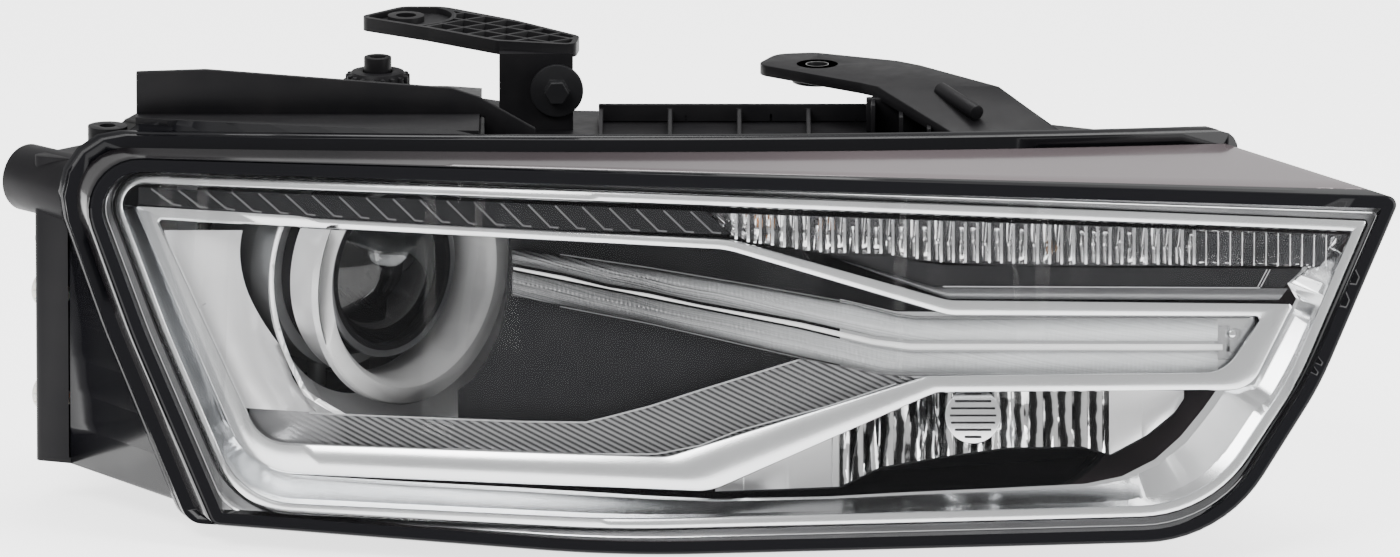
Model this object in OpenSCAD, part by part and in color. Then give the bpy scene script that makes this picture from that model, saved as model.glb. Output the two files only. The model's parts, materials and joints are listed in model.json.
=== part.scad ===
/* [Front lens] */
// How far the front face leans back from vertical
lens_lean = 13; // [8:1:18]
// Radius of the front lens curve, seen from above
lens_radius = 900; // [860:10:1000]
// Thickness of the clear front lens
lens_wall = 2.8; // [2:0.1:3.4]
// Width of the black rim moulded round the lens
rim_width = 5.5; // [4:0.5:7]

/* [Housing] */
// Wall thickness of the housing
wall = 2.6; // [2:0.1:3.2]
// Height of the housing roof above the lens datum
roof_z = 60; // [56:1:62]
// Height of the housing floor below the lens datum
floor_z = -75; // [-80:1:-72]
// Distance of the slanted rear wall along the light axis
rear_a = 282; // [280:1:284]

/* [Projector] */
// Turn of the light axis away from straight out of the face
axis_yaw = 44; // [40:1:46]
// Diameter of the projector's glass lens
glass_d = 67; // [60:1:70]
// Outer diameter of the trim ring
ring_d = 112; // [104:1:114]
// Inner diameter of the trim ring
ring_bore = 91; // [88:1:93]
// Distance of the trim ring along the light axis
ring_a = 145.5; // [144:0.5:148]

/* [Mounts] */
// Fixing hole in the moulded inner arm
arm_bore = 9; // [7:0.5:10]
// Fixing hole in the ribbed outer arm
ribbed_bore = 9; // [7:0.5:10]
// Fixing hole in the ring lug at the outer end
ring_lug_bore = 7; // [6:0.5:8]
// Fixing hole in the rear boss
rear_boss_bore = 7; // [6:0.5:8]

/* [Hidden] */
$fn = 96;
far = 400;                       // longer than any part of the lamp
fillet_steps = 5;                // points on each rounded corner
span = 26;                       // longest straight stretch between points of a lofted edge
lens_apex = 60;                  // where the lens curve comes closest to the viewer
inward = 1.4;                    // how far the axis of each deeper surface moves inwards, per mm
skirt_z = 0.33;                  // rise of the lens skirt for each mm of depth
flange = 8;                      // depth of the seam flange
proud = 5;                       // how far the flange stands out of the wall
arm_hole = [51, 205, 80];        // centre of the main fixing hole, which is the origin
light_b = -30;                   // projector axis, across the light direction
light_z = 13;                    // projector axis height
boss_b = -117;                   // rear boss, across the light direction
boss_z = 46;                     // and its height
adjuster_b = -110;               // the two aiming screws, across the light direction
adjuster_z = [-50, -4];          // and their heights
pivot_a = 232;                   // levelling axis, along the light direction
swivel_a = 208;                  // swivel axis, along the light direction
swivel_r = 4;                    // radius of the swivel pins
signal_x = 150;                  // turn signal bulb, across the face
signal_z = 44;                   // and up the face
beam_x = 117;                    // high beam bulb, across the face
beam_z = -28;                    // and up the face
knob_z = 71;                     // underside of the gap adjuster's knob
ring_r = ring_d / 2;
bore_r = ring_bore / 2;
glass_r = glass_d / 2;
left_roof = 80;                  // roof over the projector, at its front edge
left_from = -243;                // the raised roof begins here
left_to = -95;                   // and ends here
roof_fall = 7;                   // slope of the raised roof towards the rear

// plan of the housing box: across, rearwards, corner radius
box_left = -272;
box_right = 222;
box_plan = [[box_left, 108, 2], [-290, 112, 3], [-160, 237, 12], [-110, 237, 14],
            [-60, 202, 20], [120, 190, 25], [190, 155, 25], [box_right, 132, 2]];

// corner points of the face outlines: across, up, corner radius
rim = [[-272.5, 83, 22], [300.5, 66, 4], [265.5, -15, 150], [223.5, -81.5, 62],
       [-34.5, -88, 700], [-209, -75, 5], [-243.5, 5, 300]];
chrome = [[-259.5, 77, 14], [286.5, 55.5, 1.5], [256.5, -14, 150], [218.5, -70.5, 58],
          [-34.5, -77, 700], [-199.5, -69.5, 39], [-233, 7.5, 300]];
loop_outer = [[-244.5, 63, 2], [12, 48, 45], [106.5, 21.5, 25], [254.5, 20, 1.5],
              [236, -17, 14], [101, -18, 12], [4.5, -60.5, 25], [-194, -52.5, 32]];
loop_inner = [[-233, 56, 1], [11, 43, 45], [106.5, 15, 25], [241, 14.5, 1.5],
              [224.5, -9.5, 16], [97, -11, 8], [-14, -45.5, 25], [-188.5, -39.5, 18]];
strip = [[-243, 70, 2], [3.5, 59.5, 0.5], [14, 49, 0.5], [-129, 54.5, 60], [-245, 63, 1]];
signal = [[4, 59, 0.5], [278.5, 49.6, 0.5], [268.5, 36.2, 3], [129, 36, 60], [53, 41, 30],
          [14, 49, 0.5]];
lower_strip = [[60, 40, 1], [100, 35.2, 10], [266, 34.4, 1], [258, 21.5, 1], [98, 27, 20]];
step = [[-196, -25, 2], [-76.5, -30.5, 60], [-45, -30.5, 18], [43, -3.5, 1], [91.5, -12, 1],
        [17, -35, 60], [-18.5, -45, 20], [-128, -42.5, 60], [-188, -39, 10]];
guide_top = [[-82, 46, 1], [82, 16.5, 30], [226, 14, 3], [224, 5, 3], [80, 5.5, 30],
             [-82, 38.5, 1]];
guide_low = [[-82, 35.5, 1], [77.5, -1, 30], [220, -0.5, 3], [215, -9, 3], [77.5, -10.5, 30],
             [-82, 23, 1]];
divider = [[-82, 37.6, 0.5], [80, 4.6, 30], [222, 4, 0.5], [221, 0.5, 0.5], [78, 0, 30],
           [-82, 36.4, 0.5]];
// how far each edge of the outer bezel runs in: at the front, behind and at the inner end of its slope
bezel_front = [5, 4, 4.6, 5, 5, 5, 5];
bezel_back = [4.2, 4.4, 6, 8, 8, 6.6, 6.4];
bezel_inner = [5.7, 5.6, 8, 10, 10, 8.4, 8];
beam = [[7, -59, 1], [86, -14, 3], [209, -14, 3], [203, -27, 15], [177, -44.5, 14],
        [164.5, -41.5, 10], [106.5, -44, 60], [60, -57.5, 4]];
pocket = [[4.5, -62, 1], [100, -18, 3], [220, -17, 3], [205, -38, 40], [178, -57, 25],
          [55, -62.5, 60]];

// ---- outline helpers ----

function unit(v) = v / norm(v);
function flat(p) = [p.x, p.y];
function before(list, i) = list[(i + len(list) - 1) % len(list)];
function after(list, i) = list[(i + 1) % len(list)];

// corner i of an outline as an arc
function corner(list, i) =
    let (p = flat(list[i]), r = list[i][2],
         u = unit(flat(before(list, i)) - p), w = unit(flat(after(list, i)) - p),
         half = acos(u * w) / 2, reach = r / tan(half), centre = p + unit(u + w) * r / sin(half),
         from = p + u * reach - centre, to = p + w * reach - centre, turn = 180 - 2 * half)
    r <= 0 ? [for (k = [0:fillet_steps]) p]
           : [for (k = [0:fillet_steps]) let (s = k / fillet_steps)
              centre + (from * sin((1 - s) * turn) + to * sin(s * turn)) / sin(turn)];

// an outline's points, with the straight stretches cut up as the base outline needs
function trace(list, base) =
    [for (i = [0:len(list) - 1])
        let (arc = corner(list, i), next = corner(list, (i + 1) % len(list)),
             cuts = ceil(norm(flat(base[i]) - flat(after(base, i))) / span))
        each concat(arc, [for (k = [1:cuts - 1])
            arc[fillet_steps] + (next[0] - arc[fillet_steps]) * k / cuts])];

// the outline moved inwards, its corners kept concentric
function inset(list, d) = drawn_in(list, [for (c = list) d]);
// the same with a distance of its own for each edge, edge i running on from corner i
function drawn_in(list, d) =
    [for (i = [0:len(list) - 1])
        let (p = flat(list[i]), e = unit(p - flat(before(list, i))),
             f = unit(flat(after(list, i)) - p), n = [e.y, -e.x], m = [f.y, -f.x], c = n * m,
             here = d[i], back = before(d, i), bend = e.x * f.y - e.y * f.x,
             q = p + (n * (back - here * c) + m * (here - back * c)) / (1 - c * c))
        [q.x, q.y, max(list[i][2] + (bend < 0 ? -1 : 1) * (here + back) / 2, 0.4)]];

function outline(list) = [for (i = [0:len(list) - 1]) each corner(list, i)];

// ---- frames ----

// the leaning front face: across, depth, up
module face() rotate([-lens_lean, 0, 0]) children();
// the light axis: across, rearwards, up
module optical() rotate([0, 0, axis_yaw]) children();
// a point of the leaning face in upright coordinates
function upright(p) = [p.x, p.y * cos(lens_lean) + p.z * sin(lens_lean),
                       p.z * cos(lens_lean) - p.y * sin(lens_lean)];
// depth of the surface that lies d behind the lens, d = 0 being the lens itself
function lens_depth(x, d = 0) =
    lens_radius - sqrt(pow(lens_radius - d, 2) - pow(x - lens_apex - inward * d, 2));

// a cylinder lying along the light axis, from a0 to a1
module along(b, a0, z, r, length) translate([b, a0, z]) rotate([-90, 0, 0]) cylinder(r = r, h = length);
// a revolved profile of [radius, distance] points about the light axis
module spun(b, a, z) translate([b, a, z]) rotate([-90, 0, 0]) rotate_extrude() children();
// an outline extruded through the whole depth of the face
module through(points, d0 = -30, d1 = 190)
    translate([0, d1, 0]) rotate([90, 0, 0]) linear_extrude(d1 - d0) polygon(points);
// everything deeper than a distance behind the lens surface
module deeper(d) translate([lens_apex + inward * d, lens_radius, -far / 2])
    cylinder(r = lens_radius - d, h = far, $fn = 256);
// a plate that follows the lens curve between two depths
module plate(points, d0, d1) intersection() {
    through(points);
    difference() { deeper(d0); deeper(d1); }
}
module band(outer, inner, d0, d1) difference() {
    plate(outline(outer), d0, d1);
    through(outline(inner), -40, 200);
}

// ---- lofts ----

// a closed ring whose section joins the given loops in turn
module ring_loft(loops) {
    n = len(loops[0]);
    m = len(loops);
    polyhedron(points = [for (loop = loops) each loop],
        faces = [for (j = [0:m - 1], i = [0:n - 1])
            let (a = j * n + i, b = j * n + (i + 1) % n,
                 c = (j + 1) % m * n + (i + 1) % n, d = (j + 1) % m * n + i)
            each [[a, b, c], [a, c, d]]]);
}

// how far along the lens a point lies, from 0 at the outer end to 1 at the inner end
function share(x) = (x - rim[0].x) / (rim[1].x - rim[0].x);
// the skirt's depth behind the lens
function skirt(x) = 14 + 14 * share(x) + 42 * pow(share(x), 2);
// sideways run of the skirt for each mm of depth
function skirt_x(x) = -0.4 - 0.6 * share(x);
// a loop that follows the lens surface
function lens_loop(list, d, depth, base = undef) =
    let (edges = is_list(d) ? d : [for (c = list) d])
    [for (p = trace(drawn_in(list, edges), is_undef(base) ? list : base))
        upright([p.x, lens_depth(p.x, depth), p.y])];
// a loop on the skirt, measured from the seam
function seam_loop(d, extra) = skirt_loop(d, extra, 1);
// a loop part of the way down the skirt, and a little further
function skirt_loop(d, extra, part) =
    [for (p = trace(inset(rim, d), rim))
        let (t = skirt(p.x) * part + extra)
        upright([p.x + skirt_x(p.x) * t, lens_depth(p.x) + t, p.y + skirt_z * t])];
// front plan line of the housing box
function front_y(x) = 70 + (x < -40 ? 36 * pow((x + 40) / 232, 2) : 60 * pow((x + 40) / 262, 2));
// roof height along the front edge of the housing box
function front_roof(x) = lookup(x, [[left_from - 1, roof_z], [left_from, left_roof],
                                    [left_to, left_roof], [left_to + 1, roof_z]]);
// where a value lies between two limits, from -1 to 1
function between(t, low, high) = (2 * t - low - high) / (high - low);
function edge_x(i, j, k) = function(z) lookup(z, [for (n = [i, j, k]) [rim[n].y, rim[n].x]]);
function edge_z(i, j, k) = function(x) lookup(x, [for (n = [i, j, k]) [rim[n].x, rim[n].y]]);
outer_end = edge_x(5, 6, 0);
inner_end = edge_x(3, 2, 1);
top_edge = edge_z(0, 0, 1);
bottom_edge = edge_z(5, 4, 3);
// a value near either limit goes to that limit, so that the corners stay square
function snapped(t) = abs(t) > 0.93 ? sign(t) : t;
// a loop on the front edge of the housing box
function box_loop(d) =
    [for (p = trace(rim, rim))
        let (u = between(p.x, outer_end(p.y), inner_end(p.y)),
             v = between(p.y, bottom_edge(p.x), top_edge(p.x)), far_out = max(abs(u), abs(v)),
             x = (box_left + box_right) / 2 + snapped(u / far_out) * (box_right - box_left - 2 * d) / 2,
             high = front_roof(x))
        [x, front_y(x), (high + floor_z) / 2 + snapped(v / far_out) * (high - floor_z - 2 * d) / 2]];

// ---- housing ----

// plan of the box, moved inwards; the hollow's plan runs out through the open front
module box_outline(d) {
    list = inset(box_plan, d);
    open = d > 0 ? 1 : 0;
    rear = [for (i = [1:len(list) - 2]) each corner(list, i)];
    front = [for (k = [0:12]) let (x = box_right - d - k * (box_right - box_left - 2 * d) / 12)
             [x, front_y(x) - open]];
    polygon(concat(rear, front));
}

// the box, moved inwards all round, with its roof raised over the projector
module box(d) difference() {
    translate([0, 0, floor_z + d]) linear_extrude(left_roof - floor_z - 2 * d) box_outline(d);
    translate([-far, -far, roof_z - d]) cube([far + left_from + d, 2 * far, far]);
    translate([left_to - d, -far, roof_z - d]) cube([far, 2 * far, far]);
    translate([-far, 100, left_roof - d]) rotate([-roof_fall, 0, 0]) cube([2 * far, far, far]);
}

module housing_front() color("#15161a")
    ring_loft([seam_loop(0, flange), seam_loop(-proud, flange), seam_loop(-proud, 5),
               seam_loop(1 - proud, 4), seam_loop(-proud, 3), seam_loop(-proud, 0.4),
               seam_loop(0.4, 0.4), seam_loop(0.4, 2.4), seam_loop(wall, 2.4),
               box_loop(wall), box_loop(0)]);

module low_beam_opening(r) optical() along(light_b, rear_a - 20, light_z, r, 40);
module beam_opening(r) translate([20, 150, -20]) rotate([-90, 0, 0]) cylinder(r = r, h = 80);

module housing_rear() color("#1b1b1d") difference() {
    union() {
        difference() {
            box(0);
            box(wall);
        }
        optical() along(light_b, rear_a - 2, light_z, 47, 14);
        translate([20, 192, -20]) rotate([-90, 0, 0]) cylinder(r = 36, h = 12);
    }
    low_beam_opening(43);
    beam_opening(32);
    optical() for (z = adjuster_z) along(adjuster_b, rear_a - 10, z, 3.4, 20);
}

// wall that stands up along the front of the raised roof and comes down at its inner end
upright_outline = [[-243, 77], [-243, 97], [-213, 98], [-172, 94.7], [-107, 89.8], [-95, 85.8],
                   [-71, 72], [-71, roof_z], [-93, roof_z], [-93, 77]];

module rear_upright() color("#202124") translate([0, 114.6, 0]) rotate([90, 0, 0])
    linear_extrude(wall) polygon(upright_outline);

module roof_ribs() color("#1c1c1e") {
    for (x = [-44, -14, 16, 46]) translate([x, 112, roof_z]) cube([2, 66, 6]);
    translate([-44, 178, roof_z]) cube([148, 2, 8]);
}

// ---- front lens ----

module lens_cover() color("#dfe8ee", 0.3) face() plate(outline(inset(rim, rim_width)), 0, lens_wall);

module lens_rim() color("#0b0b0d")
    ring_loft([lens_loop(rim, 0, 0), seam_loop(0, 0), seam_loop(wall, 0), lens_loop(rim, wall, 3),
               lens_loop(rim, rim_width, 3), lens_loop(rim, rim_width, 0)]);

module seam_seal() color("#2b2b2b")
    ring_loft([seam_loop(0.5, 0.1), seam_loop(0.5, 2.2), seam_loop(wall, 2.2), seam_loop(wall, 0.1)]);

// ---- bezel ----

module outer_bezel() color("#e2e4e6")
    ring_loft([lens_loop(chrome, 0, 6), lens_loop(chrome, 0, 9), lens_loop(chrome, bezel_back, 20),
               lens_loop(chrome, bezel_inner, 20), lens_loop(chrome, bezel_inner, 18),
               lens_loop(chrome, bezel_front, 6)]);

module rim_trim() color("#4a4b4e")
    ring_loft([skirt_loop(4.8, 7.4, 0), skirt_loop(4.8, 8.8, 0), lens_loop(chrome, -0.5, 11, rim),
               lens_loop(chrome, -0.5, 9.6, rim)]);

module top_strip() color("#26272a") face() plate(outline(strip), 10, 13);

module drl_frame() color("#eceeef") face() band(loop_outer, loop_inner, 14, 24);

// everything well inside the slanted skirt at the inner end
module inside_skirt() rotate([0, 0, 45]) rotate([0, -18, 0])
    translate([-far * 2 + 194.6, -far, -far]) cube([far * 2, far * 2, far * 2]);

module step_panel() color("#2c2d30") difference() {
    face() plate(outline(inset(step, 0.4)), 25, 27);
    projector_space();
}

module mask_panel() color("#131315") difference() {
    face() difference() {
        plate(outline(inset(loop_inner, -4)), 34, 36);
        through(outline(pocket), -40, 200);
        through(outline(inset(beam, -0.4)), -40, 200);
    }
    projector_space();
}

// the room that the bowl, the carrier and the projector take behind the bezel
module projector_space() optical() spun(light_b, 0, light_z)
    polygon([[0, 60], [74.4, 60], [74.4, 152], [88, 170], [88, 260], [0, 260]]);

// the room inside the inner frame, in front of its rear edge and behind it
module inside_frame() face() {
    intersection() { deeper(16); through(outline(inset(loop_inner, 0.3)), -40, 200); }
    intersection() { deeper(24.6); through(outline(inset(loop_outer, 2)), -40, 200); }
}

module lower_strip_trim() color("#77797c") face() plate(outline(lower_strip), 15, 18);

// ---- turn signal ----

module signal_lens() color("#e9edf0", 0.5) face() {
    plate(outline(signal), 10, 12.5);
}

module signal_reflector() color("#d5d8db") face() difference() {
    intersection() {
        plate(outline(inset(signal, 0.6)), 13, 34);
        inside_skirt();
    }
    plate(outline(inset(signal, 2.2)), 12, 32);
    translate([signal_x, 20, signal_z]) rotate([-90, 0, 0]) cylinder(r = 4.2, h = 60);
}

module signal_bulb() color("#e08a1e") face() translate([signal_x, 0, signal_z]) {
    translate([0, 24, 0]) rotate([-90, 0, 0]) cylinder(r = 3.6, h = 22);
    translate([0, 24, 0]) sphere(r = 3.6);
}

module signal_holder() color("#2a2a2c") face() translate([signal_x, 46, signal_z])
    rotate([-90, 0, 0]) {
        cylinder(r = 6, h = 12);
        translate([-8, -1.5, 4]) cube([16, 3, 8]);
    }

// ---- daytime light ----

module drl_upper_guide() color("#f3f6f8") face() plate(outline(guide_top), 26, 31);
module drl_lower_guide() color("#f3f6f8") face() plate(outline(guide_low), 26, 31);
module drl_divider() color("#ffffff") face() plate(outline(divider), 24.5, 32.5);

module drl_board() color("#1f5a34") face() translate([205, 45, -7]) cube([1.6, 13, 20]);

module drl_heat_sink() color("#a9acb0") face() {
    translate([206.6, 45, -7]) cube([2, 13, 20]);
    for (z = [-7:4:10]) translate([208.6, 45, z]) cube([7, 13, 1.4]);
}

// ---- projector ----

module projector_bowl() color("#c9ccd0") intersection() {
    optical() spun(light_b, 0, light_z)
        polygon([[74, 90], [74, 152], [58, 176], [56, 176], [72, 151], [72, 90]]);
    inside_frame();
}

module projector_ring() color("#b9bcc0") intersection() {
    optical() spun(light_b, ring_a, light_z)
        polygon([[ring_r - 1, 0], [ring_r, 1], [ring_r, 5], [bore_r + 1.5, 12], [bore_r + 1.5, 28],
                 [bore_r, 28], [bore_r, 4], [bore_r + 3, 0]]);
    inside_frame();
}

module carrier_frame() color("#3a3b3f") optical() difference() {
    union() {
        translate([light_b - 64, pivot_a - 5, light_z - 58]) cube([130, 10, 104]);
        translate([light_b - 73, pivot_a, light_z]) rotate([0, 90, 0]) cylinder(r = 4, h = 146);
        translate([light_b + 50, pivot_a - 4, light_z - 66]) cube([12, 8, 10]);
        translate([light_b - 8, swivel_a - 8, light_z + 47]) cube([16, 34, 4]);
    }
    translate([light_b - 52, pivot_a - 20, light_z - 48]) cube([104, 40, 88]);
    translate([light_b, swivel_a, light_z + 40]) cylinder(r = swivel_r + 0.1, h = 20);
}

module projector_body() color("#8d9095") optical() {
    difference() {
        spun(light_b, 186, light_z)
            polygon([[0, 66], [20, 66], [34, 52], [42, 34], [46, 14], [46, 0], [40, 0], [40, 14],
                     [36, 34], [28, 50], [16, 60], [0, 60]]);
        along(light_b, 230, light_z, 11, 30);
    }
    translate([light_b, swivel_a, light_z + 44]) cylinder(r = swivel_r, h = 7);
    translate([light_b, swivel_a, light_z - 68]) cylinder(r = swivel_r, h = 24);
}

module lens_holder() color("#232326") optical() spun(light_b, 160, light_z)
    polygon([[glass_r + 0.4, 2], [glass_r + 0.4, 10], [glass_r - 2, 10], [glass_r - 2, 12],
             [38, 25.8], [41, 25.8], [glass_r + 3, 10], [glass_r + 3, 0], [glass_r - 1.5, 0],
             [glass_r - 1.5, 2]]);

module projector_lens() color("#cfe3ee", 0.5) optical() intersection() {
    along(light_b, 155, light_z, glass_r, 14.8);
    translate([light_b, 204, light_z]) sphere(r = 49, $fn = 128);
}

module shutter_flap() color("#5b5e62") optical() {
    translate([light_b - 21, 205, light_z - 28]) cube([42, 2, 26]);
    translate([light_b - 24, 206, light_z - 28]) rotate([0, 90, 0]) cylinder(r = 2.5, h = 48);
}

module shutter_solenoid() color("#6d4a2a") optical()
    translate([light_b + 46.3, 192, light_z - 8]) cube([9, 16, 16]);

module xenon_bulb() color("#e6ecf2") optical() {
    along(light_b, 222, light_z, 4.5, 28);
    along(light_b, 250, light_z, 10, 12);
    translate([light_b - 13, 262, light_z - 13]) cube([26, 14, 26]);
}

module bulb_clamp_ring() color("#b5b8bc") optical() difference() {
    along(light_b, 252.3, light_z, 18, 4);
    along(light_b, 250, light_z, 10.4, 10);
}

module swivel_drive() color("#2d2e31") optical() difference() {
    translate([light_b - 20, swivel_a - 14, light_z - 72]) cube([40, 43, 14]);
    translate([light_b, swivel_a, light_z - 80]) cylinder(r = swivel_r + 0.1, h = 40);
}

module levelling_motor() color("#2b2c2f") optical() {
    difference() {
        translate([8, 250, -66]) cube([36, 26, 34]);
        along(26, 240, -46, 3.3, 32);
    }
}

module levelling_rod() color("#d8d4c8") optical() {
    along(26, 237.8, -46, 3, 29.2);
}

module height_adjuster() color("#d9d9d4") optical() {
    along(adjuster_b, 250, adjuster_z[0], 3, rear_a - 248);
    along(adjuster_b, rear_a + 0.5, adjuster_z[0], 8, 12);
}

module side_adjuster() color("#d9d9d4") optical() {
    along(adjuster_b, 250, adjuster_z[1], 3, rear_a - 248);
    along(adjuster_b, rear_a + 0.5, adjuster_z[1], 8, 12);
}

// ---- high beam ----

module beam_reflector() color("#d9dcdf") face() difference() {
    intersection() {
        plate(outline(beam), 25, 60);
        inside_skirt();
    }
    plate(outline(inset(beam, 1.6)), 24, 58);
    translate([beam_x, 40, beam_z]) rotate([-90, 0, 0]) cylinder(r = 8, h = 60);
}

module glare_cap() color("#caccd0") face() translate([beam_x, 30, beam_z]) rotate([-90, 0, 0])
    difference() { cylinder(r = 12, h = 13); translate([0, 0, 2]) cylinder(r = 11, h = 20); }

module beam_bulb() color("#e6ecf2") face() translate([beam_x, 33, beam_z]) rotate([-90, 0, 0]) {
    cylinder(r = 5, h = 34);
    translate([0, 0, 34]) cylinder(r = 7.6, h = 16);
}

module beam_cap() color("#1a1a1c") translate([20, 204.4, -20]) rotate([-90, 0, 0]) {
    cylinder(r = 38, h = 6);
    translate([0, 0, -12]) cylinder(r = 31.4, h = 12);
    translate([-26, -3, 6]) cube([52, 6, 8]);
}

module low_beam_cover() color("#1a1a1c") optical() {
    along(light_b, rear_a + 14.4, light_z, 48, 16);
    translate([light_b - 34, rear_a + 30, light_z - 4]) cube([68, 8, 8]);
}

module cover_gasket() color("#333333") optical() difference() {
    along(light_b, rear_a + 12, light_z, 47, 2);
    along(light_b, rear_a + 11, light_z, 43, 5);
}

// ---- electrics ----

module ballast() color("#9b9ea2") translate([-20, 92, floor_z - 14]) cube([110, 76, 14]);

module ballast_screws() color("#c2c4c7")
    for (x = [-12, 82], y = [100, 160])
        translate([x, y, floor_z - 16]) cylinder(r = 3, h = 2);

module connector_socket() color("#26262a") difference() {
    translate([72, 190, -30]) cube([40, 24, 26]);
    translate([75, 198, -27]) cube([34, 20, 20]);
}

module breather_vent() color("#3c3c3e") optical() translate([-112, rear_a, 20]) rotate([-90, 0, 0]) {
    cylinder(r = 9, h = 4);
    cylinder(r = 6, h = 10);
}

module wiring_harness() color("#2f2f33") translate([-110, 176, floor_z + 8])
    rotate([0, 90, 0]) cylinder(r = 4, h = 200);

// ---- arms and mounts ----

// side view of the arm: level over the hole, then sloping down to the roof
arm_side = [[240, 75], [240, 80], [160, 80], [106, roof_z], [119, roof_z], [162, 75]];
arm_plan = [[24.5, 205, 8], [33, 226, 10], [50, 229, 12], [86, 212, 12], [96, 203, 8], [143, 143, 30],
            [168, 112, 6], [124, 109, 4], [70, 167, 12], [40, 192, 14]];

module inner_arm() color("#1d1d20") difference() {
    union() {
        intersection() {
            linear_extrude(100) polygon(outline(arm_plan));
            rotate([90, 0, 90]) linear_extrude(200) polygon(arm_side);
        }
        translate([72, 158, roof_z]) cube([44, 4, arm_hole.z - 5 - roof_z]);
        translate([arm_hole.x, arm_hole.y, arm_hole.z - 8]) cylinder(r = 11, h = 8);
    }
    translate([arm_hole.x, arm_hole.y, arm_hole.z - 20]) cylinder(d = arm_bore, h = 40);
}

module ribbed_arm() color("#1d1d20") difference() {
    union() {
        translate([0, 0, 92]) linear_extrude(6)
            polygon(outline([[-149, 219, 5], [-130, 240, 8], [-112, 240, 12], [-80, 212, 30], [-52, 180, 8],
                             [-54, 162, 5], [-88, 170, 5], [-118, 196, 20]]));
        translate([-87, 162, roof_z]) cube([32, 6, 34]);
        translate([-87, 168, roof_z]) cube([4, 20, 32]);
    }
    translate([-128, 222, 80]) cylinder(d = ribbed_bore, h = 40);
    translate([-62, 150, 78]) rotate([-90, 0, 0]) cylinder(r = 4.2, h = 40);
}

module ribbed_arm_bolt() color("#2d2e31") translate([-62, 159, 78]) rotate([-90, 0, 0]) {
    cylinder(r = 11.5, h = 3);
    translate([0, 0, -5]) cylinder(r = 5.5, h = 5, $fn = 6);
    cylinder(r = 4, h = 14);
}

module gap_sleeve() color("#202023") translate([-140, 193, 0]) difference() {
    translate([0, 0, knob_z + 2]) cylinder(r = 6, h = 13);
    translate([0, 0, knob_z]) cylinder(r = 3.4, h = 40);
}

module gap_knob() color("#28282b") translate([-140, 193, knob_z]) difference() {
    cylinder(r = 14, h = 9);
    translate([0, 0, -1]) cylinder(r = 6.4, h = 20);
}

module ring_lug() color("#1b1b1e") translate([-256, 136, roof_z]) difference() {
    union() {
        cylinder(r = 8.6, h = 8);
        translate([-4, -14, 0]) cube([8, 12, 6]);
    }
    translate([0, 0, -5]) cylinder(d = ring_lug_bore, h = 20);
}

module rear_boss() color("#1b1b1e") optical() difference() {
    along(boss_b, 256, boss_z, 14.5, 42);
    along(boss_b, 276, boss_z, rear_boss_bore / 2, 60);
}

module mount_inserts() color("#b9b39a")
    optical() difference() {
        along(boss_b, 284, boss_z, rear_boss_bore / 2, 13);
        along(boss_b, 280, boss_z, rear_boss_bore / 2 - 1, 30);
    }

module seam_screws() color("#6f7276")
    for (x = [-30, 30, 90]) translate([x, 104, roof_z]) cylinder(r = 3.5, h = 3);

// ---- the whole lamp, with its origin at the main fixing hole ----

module place() translate(-arm_hole) children();

place() housing_front();
place() housing_rear();
place() rear_upright();
place() lens_cover();
place() lens_rim();
place() seam_seal();
place() outer_bezel();
place() rim_trim();
place() top_strip();
place() drl_frame();
place() signal_lens();
place() signal_reflector();
place() signal_bulb();
place() signal_holder();
place() lower_strip_trim();
place() drl_upper_guide();
place() drl_lower_guide();
place() drl_divider();
place() drl_board();
place() drl_heat_sink();
place() step_panel();
place() mask_panel();
place() projector_bowl();
place() projector_ring();
place() carrier_frame();
place() projector_body();
place() projector_lens();
place() lens_holder();
place() shutter_flap();
place() shutter_solenoid();
place() xenon_bulb();
place() bulb_clamp_ring();
place() swivel_drive();
place() levelling_motor();
place() levelling_rod();
place() height_adjuster();
place() side_adjuster();
place() beam_reflector();
place() glare_cap();
place() beam_bulb();
place() beam_cap();
place() low_beam_cover();
place() cover_gasket();
place() ballast();
place() ballast_screws();
place() connector_socket();
place() breather_vent();
place() inner_arm();
place() ribbed_arm();
place() ribbed_arm_bolt();
place() gap_knob();
place() gap_sleeve();
place() ring_lug();
place() rear_boss();
place() mount_inserts();
place() seam_screws();
place() wiring_harness();
place() roof_ribs();
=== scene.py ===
"""Looks of the car headlamp: finishes, detailed pieces, studio and camera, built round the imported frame."""

import json
import math

import bpy
from mathutils import Matrix, Vector

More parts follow.
